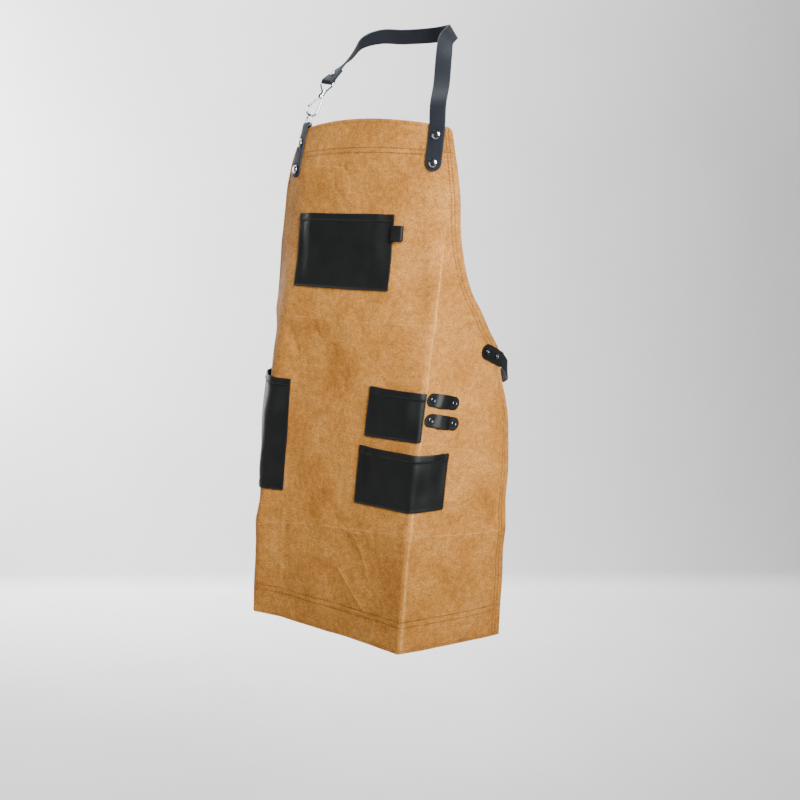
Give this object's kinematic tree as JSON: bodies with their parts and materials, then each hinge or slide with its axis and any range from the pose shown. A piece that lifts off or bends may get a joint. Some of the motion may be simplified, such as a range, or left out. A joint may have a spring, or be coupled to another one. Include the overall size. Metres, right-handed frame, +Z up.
{
  "type": "gardening apron",
  "caption": "Waxed canvas bib apron in worn shape, with leather pockets, tool loops, a leather neck strap clipped by a swivel hook, and leather waist straps.",
  "frame": {"origin": "inner face of the neck strap at the nape, where the neck carries the apron", "axes": "+Z up, -Y the front of the apron, +X the wearer's left"},
  "size_m": [0.475, 0.3233, 0.9456],
  "materials": {
    "canvas": "waxed, matt with scuffs",
    "pocket_leather": "smooth, satin",
    "strap_leather": "smooth, satin",
    "bright_metal": "polished",
    "dark_metal": "gunmetal plate"
  },
  "bodies": {
    "root": {"apron_body": "canvas", "chest_pocket": "pocket_leather", "hip_pocket_upper": "pocket_leather", "hip_pocket_lower": "pocket_leather", "side_pocket": "pocket_leather", "chest_loop": "pocket_leather", "tool_loop_upper": "pocket_leather", "tool_loop_upper_rivet_1": "dark_metal", "tool_loop_upper_rivet_2": "dark_metal", "tool_loop_lower": "pocket_leather", "tool_loop_lower_rivet_1": "dark_metal", "tool_loop_lower_rivet_2": "dark_metal", "neck_ring": "bright_metal", "hook_eye": "bright_metal", "neck_tab": "strap_leather", "neck_tab_rivet_1": "bright_metal", "neck_tab_rivet_2": "bright_metal", "neck_strap": "strap_leather", "neck_strap_rivet_1": "bright_metal", "neck_strap_rivet_2": "bright_metal", "neck_fold_rivet": "bright_metal", "waist_strap_left": "pocket_leather", "waist_strap_left_rivet_1": "dark_metal", "waist_strap_left_rivet_2": "dark_metal", "waist_strap_left_fold_rivet": "dark_metal", "waist_strap_right": "pocket_leather", "waist_strap_right_rivet_1": "dark_metal", "waist_strap_right_rivet_2": "dark_metal", "waist_strap_right_fold_rivet": "dark_metal", "waist_buckle": "dark_metal"},
    "hook": {"hook_body": "bright_metal"},
    "gate": {"hook_gate": "bright_metal"}
  },
  "joints": [
    {"name": "hook_swivel", "type": "hinge", "parent": "root", "child": "hook", "pos_m": [-0.11023, -0.14231, -0.09147], "axis": [0.2131, 0.4008, 0.891], "range_deg": [-18, 24]},
    {"name": "hook_gate_hinge", "type": "hinge", "parent": "hook", "child": "gate", "pos_m": [-0.11437, -0.14752, -0.09924], "axis": [0.5883, -0.7808, 0.2105], "range_deg": [0, 22], "stiffness_Nm_per_rad": 0.02, "springref_deg": -8.59}
  ]
}
